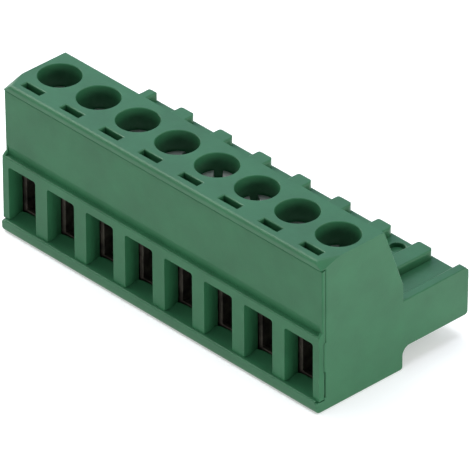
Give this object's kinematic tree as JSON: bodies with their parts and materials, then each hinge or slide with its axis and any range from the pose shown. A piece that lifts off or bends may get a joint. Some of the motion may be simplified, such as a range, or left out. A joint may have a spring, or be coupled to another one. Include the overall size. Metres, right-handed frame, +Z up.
{
  "type": "pluggable terminal block",
  "caption": "Pluggable screw terminal block: wire entries with rising clamps on one side, contact sockets for a pin header on the other.",
  "frame": {"origin": "centre of the bounding box in X and Y, on the flat underside", "axes": "+X along the row of positions (the longest extent, positions numbered 1 to 8 towards +X), +Y from the wire entries towards the mating face, +Z up, out of the face with the screwdriver holes"},
  "size_m": [0.0406, 0.0184, 0.0152],
  "materials": {
    "housing_plastic": "fine moulded green plastic",
    "cover_plastic": "fine moulded green plastic",
    "screw_steel": "zinc plated steel",
    "cage_metal": "nickel plated brass",
    "contact_metal": "tin plated copper alloy"
  },
  "bodies": {
    "block": {"housing": "housing_plastic", "front_cover": "cover_plastic", "contact_1": "contact_metal", "contact_2": "contact_metal", "contact_3": "contact_metal", "contact_4": "contact_metal", "contact_5": "contact_metal", "contact_6": "contact_metal", "contact_7": "contact_metal", "contact_8": "contact_metal"},
    "screw_1_body": {"screw_1": "screw_steel"},
    "screw_2_body": {"screw_2": "screw_steel"},
    "screw_3_body": {"screw_3": "screw_steel"},
    "screw_4_body": {"screw_4": "screw_steel"},
    "screw_5_body": {"screw_5": "screw_steel"},
    "screw_6_body": {"screw_6": "screw_steel"},
    "screw_7_body": {"screw_7": "screw_steel"},
    "screw_8_body": {"screw_8": "screw_steel"},
    "cage_1_body": {"cage_1": "cage_metal"},
    "cage_2_body": {"cage_2": "cage_metal"},
    "cage_3_body": {"cage_3": "cage_metal"},
    "cage_4_body": {"cage_4": "cage_metal"},
    "cage_5_body": {"cage_5": "cage_metal"},
    "cage_6_body": {"cage_6": "cage_metal"},
    "cage_7_body": {"cage_7": "cage_metal"},
    "cage_8_body": {"cage_8": "cage_metal"}
  },
  "joints": [
    {"name": "cage_1_lift", "type": "slide", "parent": "block", "child": "cage_1_body", "axis": [0, 0, 1], "range_m": [0, 0.00275]},
    {"name": "screw_1_turn", "type": "hinge", "parent": "block", "child": "screw_1_body", "pos_m": [-0.01778, -0.00412, 0.011], "axis": [0, 0, -1], "range_deg": [0, 1981]},
    {"name": "cage_2_lift", "type": "slide", "parent": "block", "child": "cage_2_body", "axis": [0, 0, 1], "range_m": [0, 0.00275]},
    {"name": "screw_2_turn", "type": "hinge", "parent": "block", "child": "screw_2_body", "pos_m": [-0.0127, -0.00412, 0.011], "axis": [0, 0, -1], "range_deg": [0, 1981]},
    {"name": "cage_3_lift", "type": "slide", "parent": "block", "child": "cage_3_body", "axis": [0, 0, 1], "range_m": [0, 0.00275]},
    {"name": "screw_3_turn", "type": "hinge", "parent": "block", "child": "screw_3_body", "pos_m": [-0.00762, -0.00412, 0.011], "axis": [0, 0, -1], "range_deg": [0, 1981]},
    {"name": "cage_4_lift", "type": "slide", "parent": "block", "child": "cage_4_body", "axis": [0, 0, 1], "range_m": [0, 0.00275]},
    {"name": "screw_4_turn", "type": "hinge", "parent": "block", "child": "screw_4_body", "pos_m": [-0.00254, -0.00412, 0.011], "axis": [0, 0, -1], "range_deg": [0, 1981]},
    {"name": "cage_5_lift", "type": "slide", "parent": "block", "child": "cage_5_body", "axis": [0, 0, 1], "range_m": [0, 0.00275]},
    {"name": "screw_5_turn", "type": "hinge", "parent": "block", "child": "screw_5_body", "pos_m": [0.00254, -0.00412, 0.011], "axis": [0, 0, -1], "range_deg": [0, 1981]},
    {"name": "cage_6_lift", "type": "slide", "parent": "block", "child": "cage_6_body", "axis": [0, 0, 1], "range_m": [0, 0.00275]},
    {"name": "screw_6_turn", "type": "hinge", "parent": "block", "child": "screw_6_body", "pos_m": [0.00762, -0.00412, 0.011], "axis": [0, 0, -1], "range_deg": [0, 1981]},
    {"name": "cage_7_lift", "type": "slide", "parent": "block", "child": "cage_7_body", "axis": [0, 0, 1], "range_m": [0, 0.00275]},
    {"name": "screw_7_turn", "type": "hinge", "parent": "block", "child": "screw_7_body", "pos_m": [0.0127, -0.00412, 0.011], "axis": [0, 0, -1], "range_deg": [0, 1981]},
    {"name": "cage_8_lift", "type": "slide", "parent": "block", "child": "cage_8_body", "axis": [0, 0, 1], "range_m": [0, 0.00275]},
    {"name": "screw_8_turn", "type": "hinge", "parent": "block", "child": "screw_8_body", "pos_m": [0.01778, -0.00412, 0.011], "axis": [0, 0, -1], "range_deg": [0, 1981]}
  ],
  "couplings": [
    {"joint": "screw_1_turn", "follows": "cage_1_lift", "rad_per_m": 12566},
    {"joint": "screw_2_turn", "follows": "cage_2_lift", "rad_per_m": 12566},
    {"joint": "screw_3_turn", "follows": "cage_3_lift", "rad_per_m": 12566},
    {"joint": "screw_4_turn", "follows": "cage_4_lift", "rad_per_m": 12566},
    {"joint": "screw_5_turn", "follows": "cage_5_lift", "rad_per_m": 12566},
    {"joint": "screw_6_turn", "follows": "cage_6_lift", "rad_per_m": 12566},
    {"joint": "screw_7_turn", "follows": "cage_7_lift", "rad_per_m": 12566},
    {"joint": "screw_8_turn", "follows": "cage_8_lift", "rad_per_m": 12566}
  ]
}
